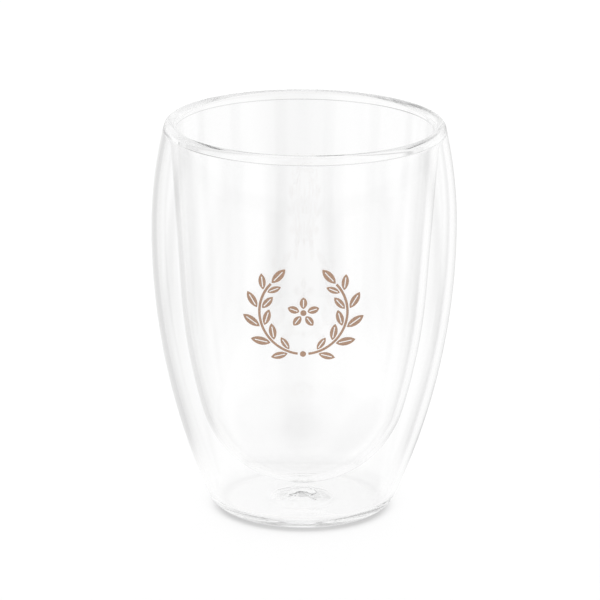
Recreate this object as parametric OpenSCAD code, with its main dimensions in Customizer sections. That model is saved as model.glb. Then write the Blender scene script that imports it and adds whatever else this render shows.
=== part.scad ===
// Double walled glass cup: two blown glass shells fused at the rim, with a
// sealed air gap between them. Millimetres, +Z up, origin at the middle of the
// resting face. The printed side faces -Y.

/* [Outer wall] */
// Height of the cup, from the table to the top of the rim
cup_h = 115; // [105:0.5:125]
// Largest diameter of the cup
belly_d = 88; // [84:0.5:92]
// Height of the largest diameter
belly_z = 84; // [78:0.5:90]
// Radius of the long curve from the belly down to the heel
flank_r = 201; // [180:1:230]
// Radius of the curve from the belly up to the rim
shoulder_r = 126; // [115:1:150]
// Radius of the rounding between flank and foot
heel_r = 7.4; // [5:0.1:9]
// Thickness of the outer wall
wall_t = 1.6; // [1.3:0.05:2.2]

/* [Base] */
// Thickness of the base above the foot
base_t = 2.6; // [2:0.1:3]
// Radius of the rounding inside the base, where the air gap ends
base_fillet_r = 5; // [3:0.1:6]
// Diameter of the hollow pressed into the underside
punt_d = 17.6; // [14:0.1:24]
// Depth of the hollow in the underside
punt_depth = 1.2; // [1:0.1:2]

/* [Inner bowl] */
// Thickness of the bowl's wall
bowl_t = 1.5; // [1.2:0.05:2]
// Lean of the bowl's straight side, in degrees, opening upwards
bowl_lean = 3.7; // [3:0.1:4.5]
// Height above the table where the straight side starts to curve in
bowl_bend_z = 66; // [56:0.5:76]
// How far the round bottom is drawn in from the line of the straight side
bowl_draw_in = 3.2; // [2.4:0.1:4.5]
// Clear space between the bowl and the drop on the base
bowl_gap = 3; // [1:0.1:4]

/* [Rim] */
// Width of the rounded rim beyond the two walls together
rim_spare = 0.3; // [0.2:0.05:0.5]
// Radius of the rounded end of the air gap under the rim
gap_end_r = 0.35; // [0.3:0.05:0.5]
// Height of the fused ring of glass below the end of the air gap
skirt_h = 2; // [1:0.1:4]

/* [Vent seal] */
// Diameter of the vent hole through the base
vent_d = 4; // [3:0.1:6]
// Diameter of the drop of glass that closes the vent, inside the air gap
drop_d = 9; // [7:0.1:12]
// Height of the drop above the base
drop_h = 1.3; // [0.8:0.1:1.6]
// Depth of the dimple left under the drop
dimple_h = 0.5; // [0.3:0.05:0.8]

/* [Print] */
// Thickness of the fired ink
ink_t = 0.1; // [0.06:0.01:0.2]
// Height of the middle of the wreath above the table
wreath_z = 71; // [64:0.5:74]
// Radius of the wreath's two stems
wreath_r = 12.3; // [10:0.1:13]
// Width of a stem's line
stem_t = 0.7; // [0.5:0.05:1]
// Pairs of leaves on each stem
leaf_pairs = 5; // [4:1:6]
// Length of the longest leaf
leaf_l = 5.6; // [4.5:0.1:6]
// Width of the longest leaf
leaf_w = 2.4; // [1.8:0.1:2.6]
// Width of the bare vein along each leaf
vein_t = 0.3; // [0.2:0.05:0.4]
// Bare gap between a leaf and its stem
leaf_gap = 0.35; // [0.2:0.05:0.5]
// Diameter of the dots in the wreath
dot_d = 1.7; // [1.2:0.1:2]
// Petals of the blossom in the middle
petals = 5; // [4:1:6]
// Length of a petal
petal_l = 3.4; // [2.5:0.1:4.5]

/* [Hidden] */
$fn = 180;

// Overrun of a cutting shape past what it cuts, and of a smaller round inside
// the larger one that it touches
over = 1;

// Centres of the two outer arcs, which meet at the belly
flank_c = [belly_d / 2 - flank_r, belly_z];
shoulder_c = [belly_d / 2 - shoulder_r, belly_z];

// Radius of a ball's cap that is as high as h over a half chord a
function cap_r(a, h) = (a * a + h * h) / (2 * h);

// The rounded rim takes in both walls, and touches the shoulder arc from inside
bead_r = (wall_t + bowl_t + rim_spare) / 2;
bead_z = cup_h - bead_r;
bead_c = [shoulder_c[0] + sqrt(pow(shoulder_r - bead_r, 2) - pow(bead_z - belly_z, 2)), bead_z];

// The bowl's outside is a ball, an arc and a cone that touch one another, and
// the inside of its cone touches the rounded rim
side_out = [cos(bowl_lean), -sin(bowl_lean)];
side_down = [-sin(bowl_lean), -cos(bowl_lean)];
side_top = bead_c - (bead_r - bowl_t) * side_out;
bend_p = side_top + side_down * (side_top[1] - bowl_bend_z) / cos(bowl_lean);
bowl_z = base_t + punt_depth + drop_h + bowl_gap;
ball_r = ((side_top - [0, bowl_z]) * side_out - bowl_draw_in) / (1 - sin(bowl_lean));
ball_c = [0, bowl_z + ball_r];
arc_r = (pow(norm(bend_p - ball_c), 2) - ball_r * ball_r) / (2 * bowl_draw_in);
arc_c = bend_p - arc_r * side_out;
arc_low = (ball_c - arc_c) / norm(ball_c - arc_c);

// The air gap ends where a circle of its end radius first touches both walls,
// on its way down beside the cone
gap_start = side_top + gap_end_r * side_out - shoulder_c;
gap_way = gap_start * side_down;
gap_reach = shoulder_r - wall_t - gap_end_r;
gap_drop = -gap_way - sqrt(gap_way * gap_way - gap_start * gap_start + gap_reach * gap_reach);
gap_c = shoulder_c + gap_start + gap_drop * side_down;
seam_z = gap_c[1] - skirt_h;

// The hollow in the underside is a ball's cap, and so is the floor above it
punt_r = cap_r(punt_d / 2, punt_depth);
punt_c = [0, punt_depth - punt_r];
dome_r = punt_r + base_t;

// Shares of the longest leaf, from the foot of a stem to its tip
leaf_shares = [0.86, 1, 1, 0.94, 0.84, 0.74];
inner_leaf_share = 0.88;
vein_from_share = 0.16;
vein_to_share = 0.8;
petal_w_share = 0.62;
// Angles of a stem's foot and tip round the wreath, and of a leaf to its stem
stem_from = -83;
stem_to = 42;
leaf_turn = 36;

module above(z, top) {
    translate([0, z]) square([belly_d, top - z]);
}

// Outline of the belly, inset from its outer face, standing on a rounded floor
module belly_outline(inset, floor_z, corner_r) {
    low_r = flank_r - inset;
    corner_z = floor_z + corner_r;
    corner_x = flank_c[0] + sqrt(pow(low_r - corner_r, 2) - pow(belly_z - corner_z, 2));
    touch_z = belly_z + low_r * (corner_z - belly_z) / (low_r - corner_r);
    intersection() {
        translate(shoulder_c) circle(r = shoulder_r - inset);
        above(belly_z - over, cup_h);
    }
    intersection() {
        translate(flank_c) circle(r = low_r);
        above(touch_z, belly_z);
    }
    intersection() {
        union() {
            translate([corner_x, corner_z]) circle(r = corner_r);
            translate([0, floor_z]) square([corner_x, corner_r]);
        }
        above(floor_z, touch_z + over);
    }
}

// Outline of the bowl, inset from its outer face, up to a height
module bowl_outline(inset, top) {
    low_p = ball_c + (ball_r - inset) * arc_low;
    high_p = arc_c + (arc_r - inset) * side_out;
    intersection() {
        translate(ball_c) circle(r = ball_r - inset);
        above(bowl_z, low_p[1] + over);
    }
    intersection() {
        translate(arc_c) circle(r = arc_r - inset);
        above(low_p[1], high_p[1] + over);
    }
    polygon([
        [0, high_p[1]],
        high_p,
        [high_p[0] + (top - high_p[1]) * tan(bowl_lean), top],
        [0, top]
    ]);
}

// Outline between the two walls, from a height up to a rounded end. The insets
// are from the outer faces of the belly and of the bowl
module between_walls(belly_inset, bowl_inset, end_c, end_r, from_z) {
    out_way = (end_c - shoulder_c) / norm(end_c - shoulder_c);
    in_p = end_c - end_r * side_out;
    translate(end_c) circle(r = end_r);
    intersection() {
        translate(shoulder_c) circle(r = shoulder_r - belly_inset);
        polygon([
            end_c,
            in_p,
            [in_p[0] - (in_p[1] - from_z) * tan(bowl_lean), from_z],
            [belly_d, from_z],
            end_c + belly_d * out_way
        ]);
    }
}

module outer_wall() {
    color([0.93, 0.95, 0.95, 0.45])
    rotate_extrude()
    difference() {
        intersection() {
            belly_outline(0, 0, heel_r);
            above(0, seam_z);
        }
        difference() {
            belly_outline(wall_t, base_t, base_fillet_r);
            translate(punt_c) circle(r = dome_r);
        }
        translate(punt_c) circle(r = punt_r);
        translate([0, -over]) square([vent_d / 2, base_t + punt_depth + 2 * over]);
    }
}

module inner_bowl() {
    color([0.96, 0.97, 0.97, 0.45])
    rotate_extrude()
    difference() {
        bowl_outline(0, seam_z);
        bowl_outline(bowl_t, seam_z + over);
    }
}

// The ring of glass where the edges of the two shells are melted together
module rim_bead() {
    color([0.88, 0.91, 0.91, 0.6])
    rotate_extrude()
    difference() {
        between_walls(0, bowl_t, bead_c, bead_r, seam_z);
        between_walls(wall_t, 0, gap_c, gap_end_r, seam_z - over);
    }
}

// The drop of glass that closes the vent hole in the base
module vent_seal() {
    floor_z = punt_c[1] + dome_r;
    edge_z = punt_c[1] + sqrt(dome_r * dome_r - drop_d * drop_d / 4);
    drop_r = cap_r(drop_d / 2, floor_z + drop_h - edge_z);
    mouth_z = punt_c[1] + sqrt(punt_r * punt_r - vent_d * vent_d / 4);
    dimple_r = cap_r(vent_d / 2, dimple_h);
    color([0.8, 0.85, 0.86, 0.7])
    rotate_extrude()
    union() {
        difference() {
            intersection() {
                translate([0, floor_z + drop_h - drop_r]) circle(r = drop_r);
                above(0, cup_h);
            }
            translate(punt_c) circle(r = dome_r);
        }
        difference() {
            translate([0, mouth_z]) square([vent_d / 2, floor_z - mouth_z]);
            translate([0, mouth_z + dimple_h - dimple_r]) circle(r = dimple_r);
        }
    }
}

// A leaf along +X with its bare vein
module leaf(l, w) {
    side_r = cap_r(l / 2, w / 2);
    difference() {
        intersection() {
            translate([l / 2, side_r - w / 2]) circle(r = side_r);
            translate([l / 2, w / 2 - side_r]) circle(r = side_r);
        }
        translate([l * vein_from_share, -vein_t / 2])
            square([l * (vein_to_share - vein_from_share), vein_t]);
    }
}

// One stem of the wreath with its pairs of leaves and the leaf at its tip
module branch() {
    step = (stem_to - stem_from) / leaf_pairs;
    start = stem_t / 2 + leaf_gap;
    intersection() {
        difference() {
            circle(r = wreath_r + stem_t / 2);
            circle(r = wreath_r - stem_t / 2);
        }
        polygon([
            [0, 0],
            for (k = [0:4]) let (a = stem_from + k * (stem_to - stem_from) / 4)
                2 * wreath_r * [cos(a), sin(a)]
        ]);
    }
    for (k = [0:leaf_pairs - 1]) {
        share = leaf_shares[k];
        rotate(stem_from + (k + 0.5) * step) {
            translate([wreath_r + start, 0]) rotate(90 - leaf_turn)
                leaf(leaf_l * share, leaf_w * share);
            translate([wreath_r - start, 0]) rotate(90 + leaf_turn)
                leaf(leaf_l * share * inner_leaf_share, leaf_w * share * inner_leaf_share);
        }
    }
    rotate(stem_to) translate([wreath_r, leaf_gap]) rotate(90)
        leaf(leaf_l, leaf_w);
}

module wreath() {
    branch();
    mirror([1, 0]) branch();
    translate([0, -wreath_r]) circle(d = dot_d);
    circle(d = dot_d);
    for (k = [0:petals - 1])
        rotate(90 + k * 360 / petals) translate([dot_d / 2 + leaf_gap, 0])
            leaf(petal_l, petal_l * petal_w_share);
}

// A generic wreath printed on the outer face of the belly
module printed_wreath() {
    color([0.675, 0.549, 0.463])
    intersection() {
        translate([0, 0, wreath_z]) rotate([90, 0, 0])
            linear_extrude(belly_d) wreath();
        rotate_extrude()
        difference() {
            belly_outline(-ink_t, 0, heel_r);
            belly_outline(0, 0, heel_r);
        }
    }
}

outer_wall();
inner_bowl();
rim_bead();
vent_seal();
printed_wreath();
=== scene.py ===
# Double walled glass cup: two clear blown walls, a melted rim, a sealed vent in the base and a
# printed wreath. Metres, +Z up, the printed side faces -Y.
import math

import bpy
from mathutils import Matrix, Vector


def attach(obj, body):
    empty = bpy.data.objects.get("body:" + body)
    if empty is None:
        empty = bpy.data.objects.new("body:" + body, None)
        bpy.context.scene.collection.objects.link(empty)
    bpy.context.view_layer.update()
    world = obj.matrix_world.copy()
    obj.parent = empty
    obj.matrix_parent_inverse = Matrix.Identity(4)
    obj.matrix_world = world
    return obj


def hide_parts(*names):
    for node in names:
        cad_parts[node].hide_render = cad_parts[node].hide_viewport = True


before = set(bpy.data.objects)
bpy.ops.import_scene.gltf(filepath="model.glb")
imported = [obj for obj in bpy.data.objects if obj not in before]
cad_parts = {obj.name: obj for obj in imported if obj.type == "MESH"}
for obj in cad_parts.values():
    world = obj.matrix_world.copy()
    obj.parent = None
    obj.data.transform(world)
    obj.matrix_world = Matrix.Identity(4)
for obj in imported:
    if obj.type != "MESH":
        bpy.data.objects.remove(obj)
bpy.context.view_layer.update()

print("Frame loaded:", ", ".join(sorted(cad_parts)))

# Camera, as the photograph was taken
cameraView = {
    "lens": 252.7,
    "distance": 1.2194,
    "elevation": 16.73,  # degrees above the table
    "roll": 0.52,  # degrees, the cup's top leans to the right
    "aimHeight": 0.0576,
    "aimRight": -0.00098,  # how far the picture's middle lies off that point
    "aimUp": 0.00408,
}


def addCamera():
    elevation = math.radians(cameraView["elevation"])
    roll = math.radians(cameraView["roll"])
    middle = Vector((0, 0, cameraView["aimHeight"]))
    back = Vector((0, -math.cos(elevation), math.sin(elevation)))
    place = middle + cameraView["distance"] * back
    level = Vector((1, 0, 0))
    upright = back.cross(level)
    right = math.cos(roll) * level + math.sin(roll) * upright
    up = math.cos(roll) * upright - math.sin(roll) * level
    aim = middle + cameraView["aimRight"] * right + cameraView["aimUp"] * up
    back = (place - aim).normalized()
    right = up.cross(back).normalized()
    up = back.cross(right)
    data = bpy.data.cameras.new("photoCamera")
    data.lens = cameraView["lens"]
    camera = bpy.data.objects.new("photoCamera", data)
    bpy.context.scene.collection.objects.link(camera)
    camera.matrix_world = Matrix.Translation(place) @ Matrix((right, up, back)).transposed().to_4x4()
    bpy.context.scene.camera = camera


addCamera()
print("Camera placed")


# Pen for the half section of a blown piece, drawn in the XZ plane and then spun round the axis
tolerance = 1e-6
levelNormal = 0.99  # a face whose normal rises more steeply than this lies level


def flat(x, z):
    return Vector((x, 0, z))


def startOutline(name, start):
    bpy.ops.object.select_all(action="DESELECT")
    bpy.ops.mesh.primitive_plane_add(size=0.001)
    bpy.context.object.name = name
    bpy.ops.object.mode_set(mode="EDIT")
    bpy.ops.mesh.merge(type="CENTER")  # leaves one vertex
    bpy.ops.transform.translate(value=start)
    return start


def drawLine(here, there, steps=1):
    for _ in range(steps):
        bpy.ops.mesh.extrude_region_move(TRANSFORM_OT_translate={"value": (there - here) / steps})
    return there


def drawArc(here, there, centre, step):
    first = here - centre
    last = there - centre
    angle = math.atan2(first.x * last.z - first.z * last.x, first.dot(last))
    steps = max(2, math.ceil(abs(angle) * first.length / step))
    bpy.ops.mesh.spin(steps=steps, angle=angle, center=centre, axis=(0, 1, 0))
    return there


def spinOutline(turns=256, smoothBelow=30):
    piece = bpy.context.object
    bpy.ops.mesh.select_all(action="SELECT")
    bpy.ops.mesh.remove_doubles(threshold=tolerance)
    bpy.ops.object.mode_set(mode="OBJECT")
    bpy.ops.object.transform_apply(location=True)
    bpy.ops.object.modifier_add(type="SCREW")
    screw = piece.modifiers[-1]
    screw.steps = turns
    screw.render_steps = turns
    screw.use_merge_vertices = True
    screw.merge_threshold = tolerance
    bpy.ops.object.modifier_apply(modifier=screw.name)
    bpy.ops.object.mode_set(mode="EDIT")
    bpy.ops.mesh.select_all(action="SELECT")
    bpy.ops.mesh.remove_doubles(threshold=tolerance)
    bpy.ops.mesh.normals_make_consistent(inside=False)
    bpy.ops.object.mode_set(mode="OBJECT")
    bpy.ops.object.shade_smooth_by_angle(angle=math.radians(smoothBelow))
    return piece


def onCircle(centre, radius, towards):
    return centre + radius * (towards - centre).normalized()


def capRadius(halfChord, rise):
    # Radius of the arc over a chord that rises this far above its middle
    return (halfChord**2 + rise**2) / (2 * rise)


# Materials
def newMaterial(name):
    material = bpy.data.materials.new(name)
    material.use_nodes = True
    material.node_tree.nodes.clear()
    return material


def feed(tree, socket, value):
    # Another node's output is linked, and a plain value goes into the socket itself
    if isinstance(value, bpy.types.NodeSocket):
        tree.links.new(value, socket)
    else:
        socket.default_value = value


def mathNode(tree, operation, *values):
    node = tree.nodes.new("ShaderNodeMath")
    node.operation = operation
    for socket, value in zip(node.inputs, values):
        feed(tree, socket, value)
    return node.outputs[0]


def vectorNode(tree, operation, *vectors):
    node = tree.nodes.new("ShaderNodeVectorMath")
    node.operation = operation
    for socket, vector in zip(node.inputs, vectors):
        feed(tree, socket, vector)
    return node


def addFade(tree, value, start, end, low=0, high=1):
    fade = tree.nodes.new("ShaderNodeMapRange")
    fade.interpolation_type = "SMOOTHSTEP"
    fade.inputs["From Min"].default_value = start
    fade.inputs["From Max"].default_value = end
    fade.inputs["To Min"].default_value = low
    fade.inputs["To Max"].default_value = high
    tree.links.new(value, fade.inputs["Value"])
    return fade.outputs["Result"]


def addNoise(tree, place, scale, detail):
    noise = tree.nodes.new("ShaderNodeTexNoise")
    noise.inputs["Detail"].default_value = detail
    feed(tree, noise.inputs["Scale"], scale)
    tree.links.new(place, noise.inputs["Vector"])
    return noise.outputs["Fac"]


# What all the glass has in common
blownGlass = {
    "ior": 1.47,
    "tint": (1, 1, 1, 1),
    "paintedBandTint": (0.992, 0.993, 0.993, 1),  # painted reflection: faint darker upright bands in the glass's colour, drawn out like the lines of blowing
    "paintedBandScale": 130,
    "paintedBandStretch": (1, 1, 0.03),
    "paintedBandFade": (0.55, 0.75),  # values of the noise between which a painted band sets in
    "detail": 1,
    "finer": 4,  # how many times smaller the fine waves are than the broad ones
}


def makeBlownWavesAndPaintedBands():
    tree = bpy.data.node_groups.new("blownWavesAndPaintedBands", "ShaderNodeTree")
    for name in ("Scale", "Upright", "Fine"):
        tree.interface.new_socket(name, in_out="INPUT", socket_type="NodeSocketFloat")
    for name in ("Height", "Streaks"):
        tree.interface.new_socket(name, in_out="OUTPUT", socket_type="NodeSocketFloat")
    given = tree.nodes.new("NodeGroupInput")
    made = tree.nodes.new("NodeGroupOutput")
    place = tree.nodes.new("ShaderNodeTexCoord").outputs["Object"]
    stretch = tree.nodes.new("ShaderNodeCombineXYZ")
    stretch.inputs["X"].default_value = 1
    stretch.inputs["Y"].default_value = 1
    tree.links.new(given.outputs["Upright"], stretch.inputs["Z"])
    drawn = vectorNode(tree, "MULTIPLY", place, stretch.outputs["Vector"]).outputs["Vector"]
    scale = given.outputs["Scale"]
    broad, fine = (
        addNoise(tree, drawn, mathNode(tree, "MULTIPLY", scale, times), blownGlass["detail"])
        for times in (1, blownGlass["finer"])
    )
    height = mathNode(tree, "MULTIPLY_ADD", fine, given.outputs["Fine"], broad)
    tree.links.new(height, made.inputs["Height"])
    # The second output is painted reflection: upright bands that make the glass's colour faintly
    # darker
    upright = vectorNode(tree, "MULTIPLY", place, blownGlass["paintedBandStretch"]).outputs["Vector"]
    paintedBandNoise = addNoise(tree, upright, blownGlass["paintedBandScale"], blownGlass["detail"])
    tree.links.new(addFade(tree, paintedBandNoise, *blownGlass["paintedBandFade"]), made.inputs["Streaks"])
    return tree


blownWavesAndPaintedBands = makeBlownWavesAndPaintedBands()

# A thin wall lets light through to the floor, and the round of the heel bends it away
heelShade = {
    "ring": 0.0235,  # radius of the ring round which the heel is darkest
    "height": 0.001,
    "core": 0.0008,  # how far from the ring the shade is full, and where it ends
    "end": 0.003,
    "low": 0.55,  # share of the light that one face passes there
    "high": 0.99,  # and elsewhere
}


def makeLightPassed():
    tree = bpy.data.node_groups.new("lightPassed", "ShaderNodeTree")
    tree.interface.new_socket("Share", in_out="OUTPUT", socket_type="NodeSocketFloat")
    made = tree.nodes.new("NodeGroupOutput")
    place = tree.nodes.new("ShaderNodeTexCoord")
    parts = tree.nodes.new("ShaderNodeSeparateXYZ")
    tree.links.new(place.outputs["Object"], parts.inputs["Vector"])
    squares = [mathNode(tree, "POWER", parts.outputs[axis], 2) for axis in "XY"]
    section = tree.nodes.new("ShaderNodeCombineXYZ")
    tree.links.new(mathNode(tree, "SQRT", mathNode(tree, "ADD", *squares)), section.inputs["X"])
    tree.links.new(parts.outputs["Z"], section.inputs["Z"])
    ring = flat(heelShade["ring"], heelShade["height"])
    away = vectorNode(tree, "DISTANCE", section.outputs["Vector"], ring).outputs["Value"]
    share = addFade(tree, away, *(heelShade[name] for name in ("core", "end", "low", "high")))
    tree.links.new(share, made.inputs["Share"])
    return tree


lightPassed = makeLightPassed()


def clearGlass(name, look):
    material = newMaterial(name)
    tree = material.node_tree
    out = tree.nodes.new("ShaderNodeOutputMaterial")
    glass = tree.nodes.new("ShaderNodeBsdfPrincipled")
    glass.inputs["Roughness"].default_value = 0
    glass.inputs["IOR"].default_value = blownGlass["ior"]
    glass.inputs["Transmission Weight"].default_value = 1
    waves = tree.nodes.new("ShaderNodeGroup")
    waves.node_tree = blownWavesAndPaintedBands
    waves.inputs["Scale"].default_value = look["waveScale"]
    waves.inputs["Upright"].default_value = look["waveUpright"]
    waves.inputs["Fine"].default_value = look["waveFine"]
    bump = tree.nodes.new("ShaderNodeBump")
    bump.inputs["Distance"].default_value = look["waveDepth"]
    tree.links.new(waves.outputs["Height"], bump.inputs["Height"])
    tree.links.new(bump.outputs["Normal"], glass.inputs["Normal"])
    # Painted reflection: the glass's colour turns faintly darker in upright bands
    colour = tree.nodes.new("ShaderNodeMix")
    colour.data_type = "RGBA"
    colour.inputs["A"].default_value = blownGlass["tint"]
    colour.inputs["B"].default_value = blownGlass["paintedBandTint"]
    tree.links.new(waves.outputs["Streaks"], colour.inputs["Factor"])
    tree.links.new(colour.outputs["Result"], glass.inputs["Base Color"])
    lampLight = tree.nodes.new("ShaderNodeBsdfTransparent")  # lets the lamps reach what is behind
    passed = tree.nodes.new("ShaderNodeGroup")
    passed.node_tree = lightPassed
    tree.links.new(passed.outputs["Share"], lampLight.inputs["Color"])
    rays = tree.nodes.new("ShaderNodeLightPath")
    mix = tree.nodes.new("ShaderNodeMixShader")
    tree.links.new(rays.outputs["Is Shadow Ray"], mix.inputs["Fac"])
    tree.links.new(glass.outputs["BSDF"], mix.inputs[1])
    tree.links.new(lampLight.outputs["BSDF"], mix.inputs[2])
    tree.links.new(mix.outputs["Shader"], out.inputs["Surface"])
    return material


def makeMeltedJoint():
    material = newMaterial("meltedJoint")
    tree = material.node_tree
    out = tree.nodes.new("ShaderNodeOutputMaterial")
    gone = tree.nodes.new("ShaderNodeBsdfPrincipled")
    gone.inputs["Alpha"].default_value = 0  # glass runs on through the joint, so nothing shows
    tree.links.new(gone.outputs["BSDF"], out.inputs["Surface"])
    return material


meltedJoint = makeMeltedJoint()


def finishGlass(piece, look, isJoint):
    piece.data.materials.clear()
    piece.data.materials.append(clearGlass(piece.name + "Glass", look))
    piece.data.materials.append(meltedJoint)
    joints = 0
    for face in piece.data.polygons:
        face.material_index = int(isJoint(face))
        joints += face.material_index
    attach(piece, "root")
    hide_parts(look["node"])
    print(piece.name, "made:", len(piece.data.polygons), "faces,", joints, "in melted joints")


# Outer wall
outerWall = {
    "height": 0.115,  # of the whole cup
    "bellyRadius": 0.044,
    "bellyHeight": 0.084,
    "flankRadius": 0.201,
    "shoulderRadius": 0.126,
    "heelRadius": 0.0074,
    "thickness": 0.0016,
    "base": 0.0026,
    "fillet": 0.005,
    "puntRadius": 0.0088,
    "puntDepth": 0.0012,
    "ventRadius": 0.002,
    "step": 0.0012,  # along the walls
    "fineStep": 0.0003,  # round the heel and in the base
}
outerLook = {
    "node": "outer_wall",
    "slot": "outer_glass",
    "waveScale": 55,
    "waveUpright": 0.12,
    "waveFine": 0.08,
    "waveDepth": 0.00004,
}
flankCentre = flat(outerWall["bellyRadius"] - outerWall["flankRadius"], outerWall["bellyHeight"])
shoulderCentre = flat(outerWall["bellyRadius"] - outerWall["shoulderRadius"], outerWall["bellyHeight"])
puntArc = capRadius(outerWall["puntRadius"], outerWall["puntDepth"])
puntCentre = flat(0, outerWall["puntDepth"] - puntArc)
domeArc = puntArc + outerWall["base"]

# Rim: a round bead that takes in both walls, over the rounded end of the air gap
rim = {
    "spare": 0.0003,  # width beyond the two walls together
    "gapEnd": 0.00035,
    "skirt": 0.002,  # how far the piece reaches down below the gap's end
    "step": 0.00009,  # round the bead and the gap's end
    "sideStep": 0.0006,
    "turns": 768,
}
rimLook = {
    "node": "rim_bead",
    "slot": "rim_glass",
    "waveScale": 40,
    "waveUpright": 1,
    "waveFine": 0.02,
    "waveDepth": 0.00005,
}

# Inner bowl: a ball, an arc and a cone that touch one another
innerBowl = {
    "thickness": 0.0015,
    "lean": 3.7,  # degrees
    "bendHeight": 0.066,
    "drawIn": 0.0032,
    "gap": 0.003,  # above the drop of glass in the base
    "step": 0.0012,
}
bowlLook = {
    "node": "inner_bowl",
    "slot": "bowl_glass",
    "waveScale": 50,
    "waveUpright": 0.12,
    "waveFine": 0.08,
    "waveDepth": 0.00004,
}

# Drop of glass that seals the vent in the base
ventSeal = {
    "dropRadius": 0.0045,
    "dropHeight": 0.0013,
    "dimple": 0.0005,
    "step": 0.0002,
}
sealLook = {
    "node": "vent_seal",
    "slot": "seal_glass",
    "waveScale": 300,
    "waveUpright": 1,
    "waveFine": 0.3,
    "waveDepth": 0.0002,
}

# Where the vent was melted shut the base is a little uneven
pressed = {
    "size": 0.007,
    "height": 0.0004,
    "full": 0.005,  # the radius up to which it is full
}

# The two walls meet at the rim
beadRadius = (outerWall["thickness"] + innerBowl["thickness"] + rim["spare"]) / 2
beadHeight = outerWall["height"] - beadRadius
beadReach = outerWall["shoulderRadius"] - beadRadius
beadCentre = flat(
    shoulderCentre.x + math.sqrt(beadReach**2 - (beadHeight - shoulderCentre.z) ** 2), beadHeight
)
lean = math.radians(innerBowl["lean"])
coneOut = flat(math.cos(lean), -math.sin(lean))
coneDown = flat(-math.sin(lean), -math.cos(lean))
coneTop = beadCentre - (beadRadius - innerBowl["thickness"]) * coneOut
bend = coneTop + coneDown * (coneTop.z - innerBowl["bendHeight"]) / math.cos(lean)
bowlBottom = outerWall["base"] + outerWall["puntDepth"] + ventSeal["dropHeight"] + innerBowl["gap"]
coneReach = (coneTop - flat(0, bowlBottom)).dot(coneOut)
ballRadius = (coneReach - innerBowl["drawIn"]) / (1 - math.sin(lean))
ballCentre = flat(0, bowlBottom + ballRadius)
sideRadius = ((bend - ballCentre).length_squared - ballRadius**2) / (2 * innerBowl["drawIn"])
sideCentre = bend - sideRadius * coneOut
sideLow = (ballCentre - sideCentre).normalized()
gapStart = coneTop + rim["gapEnd"] * coneOut - shoulderCentre
gapReach = outerWall["shoulderRadius"] - outerWall["thickness"] - rim["gapEnd"]
gapWay = gapStart.dot(coneDown)
gapDrop = -gapWay - math.sqrt(gapWay**2 - gapStart.length_squared + gapReach**2)
gapCentre = shoulderCentre + gapStart + gapDrop * coneDown
seamHeight = gapCentre.z - rim["skirt"]


def shoulderPoint(inset, height):
    radius = outerWall["shoulderRadius"] - inset
    return flat(shoulderCentre.x + math.sqrt(radius**2 - (height - shoulderCentre.z) ** 2), height)


def cornerOf(inset, floor, radius):
    # Centre of the round between the flank and a floor, and where it touches the flank
    low = outerWall["flankRadius"] - inset
    z = floor + radius
    centre = flat(flankCentre.x + math.sqrt((low - radius) ** 2 - (z - flankCentre.z) ** 2), z)
    return centre, onCircle(flankCentre, low, centre)


def conePoint(inset, height):
    start = coneTop - inset * coneOut
    return start + coneDown * (start.z - height) / math.cos(lean)


def basePoint(arc, reach):
    # On the arc of the hollow or of the dome above it, at this distance from the axis
    return flat(reach, puntCentre.z + math.sqrt(arc**2 - reach**2))


def onSeam(face):
    return abs(face.center.z - seamHeight) < tolerance and abs(face.normal.z) > levelNormal


def inBore(face):
    return abs(math.hypot(face.center.x, face.center.y) - outerWall["ventRadius"]) < tolerance


def pressBase(piece):
    texture = bpy.data.textures.new("pressedWaves", "CLOUDS")
    texture.noise_scale = pressed["size"]
    group = piece.vertex_groups.new(name="pressed")
    for corner in piece.data.vertices:
        reach = math.hypot(corner.co.x, corner.co.y)
        share = (outerWall["puntRadius"] - reach) / (outerWall["puntRadius"] - pressed["full"])
        if share > 0:
            group.add([corner.index], min(1, share), "REPLACE")
    bpy.ops.object.modifier_add(type="DISPLACE")
    press = piece.modifiers[-1]
    press.texture = texture
    press.texture_coords = "GLOBAL"
    press.direction = "Z"
    press.strength = pressed["height"]
    press.vertex_group = group.name
    bpy.ops.object.modifier_apply(modifier=press.name)
    return piece


def makeOuterWall():
    thickness, base = outerWall["thickness"], outerWall["base"]
    step, fineStep = outerWall["step"], outerWall["fineStep"]
    belly = flat(outerWall["bellyRadius"], outerWall["bellyHeight"])
    bellyInside = flat(outerWall["bellyRadius"] - thickness, outerWall["bellyHeight"])
    heel, heelTouch = cornerOf(0, 0, outerWall["heelRadius"])
    fillet, filletTouch = cornerOf(thickness, base, outerWall["fillet"])
    domeFoot = flat(math.sqrt(domeArc**2 - (base - puntCentre.z) ** 2), base)
    start = startOutline("outerWall", shoulderPoint(0, seamHeight))
    here = drawArc(start, belly, shoulderCentre, step)
    here = drawArc(here, heelTouch, flankCentre, step)
    here = drawArc(here, flat(heel.x, 0), heel, fineStep)
    here = drawLine(here, flat(outerWall["puntRadius"], 0), steps=6)
    here = drawArc(here, basePoint(puntArc, outerWall["ventRadius"]), puntCentre, fineStep)
    here = drawLine(here, basePoint(domeArc, outerWall["ventRadius"]), steps=3)
    here = drawArc(here, basePoint(domeArc, ventSeal["dropRadius"]), puntCentre, fineStep)
    here = drawArc(here, domeFoot, puntCentre, fineStep)
    here = drawLine(here, flat(fillet.x, base), steps=5)
    here = drawArc(here, filletTouch, fillet, fineStep)
    here = drawArc(here, bellyInside, flankCentre, step)
    here = drawArc(here, shoulderPoint(thickness, seamHeight), shoulderCentre, step)
    drawLine(here, start, steps=2)
    piece = pressBase(spinOutline())

    def isJoint(face):
        reach = math.hypot(face.center.x, face.center.y)
        fromPunt = math.hypot(reach, face.center.z - puntCentre.z)
        underDrop = reach < ventSeal["dropRadius"] and fromPunt > puntArc + base / 2
        return onSeam(face) or inBore(face) or underDrop

    finishGlass(piece, outerLook, isJoint)


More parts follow.
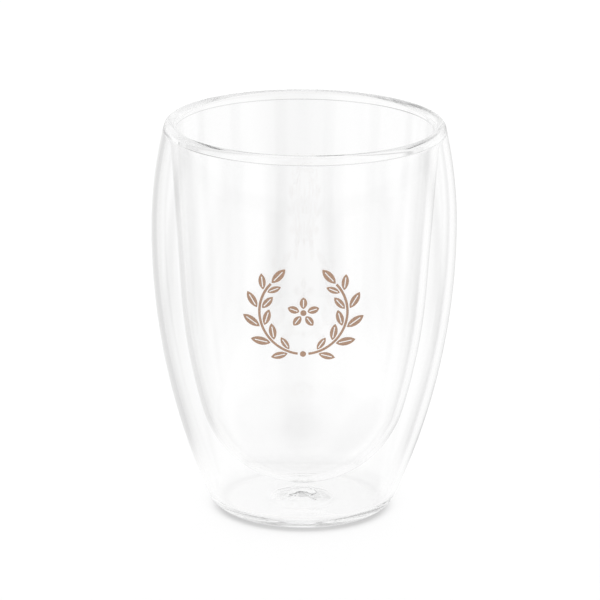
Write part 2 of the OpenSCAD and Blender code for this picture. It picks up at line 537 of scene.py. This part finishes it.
def makeInnerBowl():
    thickness, step = innerBowl["thickness"], innerBowl["step"]
    sideTouch = ballCentre + ballRadius * sideLow
    start = startOutline("innerBowl", flat(0, bowlBottom))
    here = drawArc(start, sideTouch, ballCentre, step)
    here = drawArc(here, bend, sideCentre, step)
    here = drawLine(here, conePoint(0, seamHeight), steps=20)
    here = drawLine(here, conePoint(thickness, seamHeight), steps=2)
    here = drawLine(here, bend - thickness * coneOut, steps=20)
    here = drawArc(here, sideTouch - thickness * sideLow, sideCentre, step)
    drawArc(here, flat(0, bowlBottom + thickness), ballCentre, step)
    finishGlass(spinOutline(), bowlLook, onSeam)


def makeRimBead():
    beadTouch = onCircle(shoulderCentre, outerWall["shoulderRadius"], beadCentre)
    gapTouch = onCircle(shoulderCentre, gapReach + rim["gapEnd"], gapCentre)
    seamPoint = shoulderPoint(outerWall["thickness"], seamHeight)
    start = startOutline("rimBead", shoulderPoint(0, seamHeight))
    here = drawArc(start, beadTouch, shoulderCentre, rim["sideStep"])
    here = drawArc(here, beadCentre + flat(0, beadRadius), beadCentre, rim["step"])
    here = drawArc(here, beadCentre - beadRadius * coneOut, beadCentre, rim["step"])
    here = drawLine(here, conePoint(innerBowl["thickness"], seamHeight), steps=5)
    here = drawLine(here, conePoint(0, seamHeight), steps=2)
    here = drawLine(here, gapCentre - rim["gapEnd"] * coneOut, steps=4)
    here = drawArc(here, gapCentre + flat(0, rim["gapEnd"]), gapCentre, rim["step"])
    here = drawArc(here, gapTouch, gapCentre, rim["step"])
    here = drawArc(here, seamPoint, shoulderCentre, rim["sideStep"])
    drawLine(here, start, steps=2)
    finishGlass(spinOutline(rim["turns"]), rimLook, onSeam)


def makeVentSeal():
    ventRadius, step = outerWall["ventRadius"], ventSeal["step"]
    topHeight = puntCentre.z + domeArc + ventSeal["dropHeight"]
    edge = basePoint(domeArc, ventSeal["dropRadius"])
    mouth = basePoint(puntArc, ventRadius)
    dimpleTop = flat(0, mouth.z + ventSeal["dimple"])
    dropArc = capRadius(ventSeal["dropRadius"], topHeight - edge.z)
    dimpleArc = capRadius(ventRadius, ventSeal["dimple"])
    start = startOutline("ventSeal", flat(0, topHeight))
    here = drawArc(start, edge, start - flat(0, dropArc), step)
    here = drawArc(here, basePoint(domeArc, ventRadius), puntCentre, outerWall["fineStep"])
    here = drawLine(here, mouth, steps=3)
    drawArc(here, dimpleTop, dimpleTop - flat(0, dimpleArc), step)
    piece = pressBase(spinOutline())

    def isJoint(face):
        reach = math.hypot(face.center.x, face.center.y)
        underDrop = reach > ventRadius and face.normal.z < 0
        return inBore(face) or underDrop

    finishGlass(piece, sealLook, isJoint)


makeOuterWall()
makeInnerBowl()
makeRimBead()
makeVentSeal()


# Printed wreath: the CAD node keeps its shape and gets its ink
ink = {
    "colour": (0.413, 0.262, 0.181, 1),
    "paler": (0.47, 0.305, 0.215, 1),
    "patchScale": 180,
    "patchDetail": 4,
    "grainScale": 2600,
    "grainDetail": 3,
    "roughness": (0.42, 0.58),
    "grainDepth": 0.00002,
}


def makeInk():
    material = newMaterial("firedInk")
    tree = material.node_tree
    out = tree.nodes.new("ShaderNodeOutputMaterial")
    fired = tree.nodes.new("ShaderNodeBsdfPrincipled")
    place = tree.nodes.new("ShaderNodeTexCoord").outputs["Object"]
    patches = addNoise(tree, place, ink["patchScale"], ink["patchDetail"])
    grain = addNoise(tree, place, ink["grainScale"], ink["grainDetail"])
    colour = tree.nodes.new("ShaderNodeMix")
    colour.data_type = "RGBA"
    colour.inputs["A"].default_value = ink["colour"]
    colour.inputs["B"].default_value = ink["paler"]
    tree.links.new(patches, colour.inputs["Factor"])
    rough = tree.nodes.new("ShaderNodeMapRange")
    rough.inputs["To Min"].default_value, rough.inputs["To Max"].default_value = ink["roughness"]
    tree.links.new(grain, rough.inputs["Value"])
    bump = tree.nodes.new("ShaderNodeBump")
    bump.inputs["Distance"].default_value = ink["grainDepth"]
    tree.links.new(grain, bump.inputs["Height"])
    tree.links.new(colour.outputs["Result"], fired.inputs["Base Color"])
    tree.links.new(rough.outputs["Result"], fired.inputs["Roughness"])
    tree.links.new(bump.outputs["Normal"], fired.inputs["Normal"])
    tree.links.new(fired.outputs["BSDF"], out.inputs["Surface"])
    return material


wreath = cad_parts["printed_wreath"]
wreath.data.materials.clear()
wreath.data.materials.append(makeInk())
print("Wreath inked")


# Room: a white floor and a white sky. What the glass shows of the floor is darker in some
# directions, and they give the cup its outlines
room = {
    "floorSize": 8,
    "floorDrop": 0.00005,  # below the foot
    "paint": 0.8,
    "glow": 0.15,
    "paintInGlass": 0.12,  # through the glass the floor mostly glows in place of its lit paint, so the cup's own shade on it is painted faint
    "paintedLightInGlass": 0.87,
    "toneStart": (0.025, 0.07),  # the tone sets in between these distances from the cup's axis
    "toneSeam": (0, 0.04),  # and between these in front of the cup and behind it
    "toneCentre": 0.11,  # the directions start this far in front of the cup's axis
    # direction seen in the glass, in degrees from behind the cup towards its right, and its tone
    "tones": (
        (-180, 0.97),
        (-165, 0.94),
        (-150, 1.02),
        (-60, 1.04),
        (-36, 0.95),
        (-25, 0.74),
        (-18, 0.73),
        (-12.5, 0.93),
        (-8.5, 1),
        (-4.5, 0.985),
        (-2.6, 0.985),
        (-0.7, 0.91),
        (1.4, 0.985),
        (4, 0.99),
        (8, 1.01),
        (12.6, 1.01),
        (15.8, 0.55),
        (19, 0.97),
        (36, 1.03),
        (150, 1.03),
        (180, 0.97),
    ),
    # other sides that the cup may be seen from: the directions behind it, and two strips in each
    "stripWays": (45, 90, 135, 180, -135, -90, -45),
    "stripRise": (13, 16),  # degrees to both sides
    "stripFall": (20, 26),
    "stripDark": 0.3,
    "stripStart": (0.08, 0.2),  # distances behind the cup's axis
    "stripsClear": (26, 38),  # inside these directions the photo's side keeps its own tones
}


def addRoomRays(tree):
    rays = tree.nodes.new("ShaderNodeLightPath").outputs
    inGlass = mathNode(tree, "MAXIMUM", rays["Is Glossy Ray"], rays["Is Transmission Ray"])
    return rays["Is Camera Ray"], inGlass


def addTurnTone(tree, x, y, tones):
    turn = mathNode(tree, "ARCTAN2", x, y)
    share = mathNode(tree, "MULTIPLY_ADD", turn, 0.5 / math.pi, 0.5)
    ramp = tree.nodes.new("ShaderNodeValToRGB")
    ramp.color_ramp.interpolation = "EASE"
    stops = ramp.color_ramp.elements
    while len(stops) > 1:
        stops.remove(stops[-1])
    for index, (angle, tone) in enumerate(tones):
        position = angle / 360 + 0.5
        stop = stops.new(position) if index else stops[0]
        stop.position = position
        stop.color = (tone, tone, tone, 1)
    tree.links.new(share, ramp.inputs["Fac"])
    return ramp.outputs["Color"]


def addStrips(tree, x, y):
    # The strips give the cup's outline a grey line when it is seen from another side
    centre = room["toneCentre"]
    riseEdges, fallEdges = (
        [math.tan(math.radians(edge)) for edge in room[name]] for name in ("stripRise", "stripFall")
    )
    tone = 1
    for way in room["stripWays"]:
        farX, farY = math.sin(math.radians(way)), math.cos(math.radians(way))
        along = mathNode(tree, "MULTIPLY_ADD", y, farY, centre)
        along = mathNode(tree, "MULTIPLY_ADD", x, farX, along)
        across = mathNode(tree, "MULTIPLY_ADD", x, farY, mathNode(tree, "MULTIPLY", y, -farX))
        slope = mathNode(tree, "DIVIDE", mathNode(tree, "ABSOLUTE", across), along)
        rise = addFade(tree, slope, *riseEdges)
        fall = addFade(tree, slope, *fallEdges)
        behind = addFade(tree, along, *(centre + start for start in room["stripStart"]))
        strip = mathNode(tree, "MULTIPLY", mathNode(tree, "SUBTRACT", rise, fall), behind)
        left = mathNode(tree, "MULTIPLY_ADD", strip, -room["stripDark"], 1)
        tone = mathNode(tree, "MULTIPLY", tone, left)
    depth = mathNode(tree, "ADD", y, centre)
    ahead = mathNode(tree, "ARCTAN2", mathNode(tree, "ABSOLUTE", x), depth)
    outside = addFade(tree, ahead, *(math.radians(edge) for edge in room["stripsClear"]))
    loss = mathNode(tree, "MULTIPLY", mathNode(tree, "SUBTRACT", 1, tone), outside)
    return mathNode(tree, "SUBTRACT", 1, loss)


def addFloorTone(tree):
    # The tone by direction from the cup, faded in with the distance from it
    position = tree.nodes.new("ShaderNodeNewGeometry").outputs["Position"]
    parts = tree.nodes.new("ShaderNodeSeparateXYZ")
    tree.links.new(position, parts.inputs["Vector"])
    x, y = parts.outputs["X"], parts.outputs["Y"]
    depth = mathNode(tree, "MULTIPLY_ADD", mathNode(tree, "SIGN", y), room["toneCentre"], y)
    loss = mathNode(tree, "SUBTRACT", 1, addTurnTone(tree, x, depth, room["tones"]))
    away = addFade(tree, vectorNode(tree, "LENGTH", position).outputs["Value"], *room["toneStart"])
    # The tones in front and behind meet level beside the cup, so that no seam shows from there
    clear = addFade(tree, mathNode(tree, "ABSOLUTE", y), *room["toneSeam"])
    faded = mathNode(tree, "MULTIPLY", mathNode(tree, "MULTIPLY", loss, clear), away)
    return mathNode(tree, "MULTIPLY", mathNode(tree, "SUBTRACT", 1, faded), addStrips(tree, x, y))


def addFloor():
    bpy.ops.object.select_all(action="DESELECT")
    bpy.ops.mesh.primitive_plane_add(size=room["floorSize"], location=(0, 0, -room["floorDrop"]))
    bpy.ops.object.transform_apply(location=True)
    floor = bpy.context.object
    floor.name = "paleFloor"
    material = newMaterial("paleFloor")
    tree = material.node_tree
    out = tree.nodes.new("ShaderNodeOutputMaterial")
    seen, inGlass = addRoomRays(tree)
    tone = addFloorTone(tree)
    toneSeen = mathNode(tree, "MULTIPLY", tone, inGlass)
    paint = tree.nodes.new("ShaderNodeBsdfDiffuse")
    paintInGlass = mathNode(tree, "MULTIPLY", toneSeen, room["paintInGlass"])
    outside = mathNode(tree, "SUBTRACT", 1, inGlass)
    level = mathNode(tree, "MULTIPLY_ADD", outside, room["paint"], paintInGlass)
    colour = tree.nodes.new("ShaderNodeCombineColor")
    for channel in ("Red", "Green", "Blue"):
        tree.links.new(level, colour.inputs[channel])
    tree.links.new(colour.outputs["Color"], paint.inputs["Color"])
    glow = tree.nodes.new("ShaderNodeEmission")
    # Painted light: seen through the glass the floor is mostly this glow, so the cup's shade on it
    # shows faint
    paintedLightInGlass = mathNode(tree, "MULTIPLY", toneSeen, room["paintedLightInGlass"])
    strength = mathNode(tree, "MULTIPLY_ADD", seen, room["glow"], paintedLightInGlass)
    tree.links.new(strength, glow.inputs["Strength"])
    both = tree.nodes.new("ShaderNodeAddShader")
    tree.links.new(paint.outputs["BSDF"], both.inputs[0])
    tree.links.new(glow.outputs["Emission"], both.inputs[1])
    # From below the floor would hide the cup, so it is left out of that view
    fromBelow = tree.nodes.new("ShaderNodeNewGeometry").outputs["Backfacing"]
    gone = tree.nodes.new("ShaderNodeBsdfTransparent")
    mix = tree.nodes.new("ShaderNodeMixShader")
    tree.links.new(mathNode(tree, "MULTIPLY", fromBelow, seen), mix.inputs["Fac"])
    tree.links.new(both.outputs["Shader"], mix.inputs[1])
    tree.links.new(gone.outputs["BSDF"], mix.inputs[2])
    tree.links.new(mix.outputs["Shader"], out.inputs["Surface"])
    floor.data.materials.append(material)


# The sky that the glass sees: white, with a brighter belt along the horizon and three dark cards
sky = {
    "belt": 1.38,
    "beltRise": (0.02, 0.06),  # sines of the elevations where the belt fades in and out
    "beltFall": (0.3, 0.42),
    # round cards: direction as for the floor, elevation, radius and the edge's half width in
    # degrees, and the share of the light that the card takes
    "cards": (
        {"turn": -62, "rise": 33, "radius": 24, "soft": 11, "dark": 0.8},
        {"turn": 180, "rise": 76, "radius": 20, "soft": 17, "dark": 0.9},
        {"turn": 10, "rise": 6, "radius": 18, "soft": 8, "dark": 0.25},
    ),
}


def addSkyTone(tree):
    direction = tree.nodes.new("ShaderNodeTexCoord").outputs["Generated"]
    parts = tree.nodes.new("ShaderNodeSeparateXYZ")
    tree.links.new(direction, parts.inputs["Vector"])
    rise = addFade(tree, parts.outputs["Z"], *sky["beltRise"])
    fall = addFade(tree, parts.outputs["Z"], *sky["beltFall"])
    belt = mathNode(tree, "SUBTRACT", rise, fall)
    tone = mathNode(tree, "MULTIPLY_ADD", belt, sky["belt"] - 1, 1)
    for card in sky["cards"]:
        turn, rise = math.radians(card["turn"]), math.radians(card["rise"])
        middle = (math.sin(turn) * math.cos(rise), math.cos(turn) * math.cos(rise), math.sin(rise))
        near = vectorNode(tree, "DOT_PRODUCT", direction, middle).outputs["Value"]
        outside = math.cos(math.radians(card["radius"] + card["soft"]))
        inside = math.cos(math.radians(card["radius"] - card["soft"]))
        shade = addFade(tree, near, outside, inside)
        left = mathNode(tree, "MULTIPLY_ADD", shade, -card["dark"], 1)
        tone = mathNode(tree, "MULTIPLY", tone, left)
    return tone


def addWorld():
    world = bpy.data.worlds.new("whiteRoom")
    world.use_nodes = True
    bpy.context.scene.world = world
    tree = world.node_tree
    tree.nodes.clear()
    out = tree.nodes.new("ShaderNodeOutputWorld")
    white = tree.nodes.new("ShaderNodeBackground")
    seen, inGlass = addRoomRays(tree)
    strength = mathNode(tree, "MULTIPLY_ADD", inGlass, addSkyTone(tree), seen)
    tree.links.new(strength, white.inputs["Strength"])
    tree.links.new(white.outputs["Background"], out.inputs["Surface"])


# Lamps for the print and the floor: the glass itself shows only the room
lamps = {
    "overhead": {"place": (0, 0.6, 1.4), "size": 3, "power": 49},
    "left": {"place": (-1.2, -1.4, 0.7), "size": 1.2, "power": 14},
    "right": {"place": (1.2, -1.4, 0.7), "size": 1.2, "power": 14},
}


def addLamps():
    for name, lamp in lamps.items():
        data = bpy.data.lights.new(name, "AREA")
        data.size = lamp["size"]
        data.energy = lamp["power"]
        data.cycles.use_multiple_importance_sampling = False  # all its light goes by lightPassed
        light = bpy.data.objects.new(name, data)
        bpy.context.scene.collection.objects.link(light)
        light.location = lamp["place"]
        aim = Vector((0, 0, outerWall["height"] / 2)) - light.location
        light.rotation_euler = aim.to_track_quat("-Z", "Y").to_euler()
        light.visible_glossy = False
        light.visible_transmission = False


addFloor()
addWorld()
addLamps()
print("Room and lamps set")

scene = bpy.context.scene
scene.view_settings.view_transform = "Standard"
glassBounces = 1024  # light runs far along inside a wall before it comes out
scene.cycles.max_bounces = glassBounces
scene.cycles.glossy_bounces = glassBounces
scene.cycles.transmission_bounces = glassBounces
scene.cycles.transparent_max_bounces = glassBounces
scene.cycles.caustics_reflective = False  # the floor's light comes through the glass by lightPassed
scene.cycles.caustics_refractive = False

print("Done")
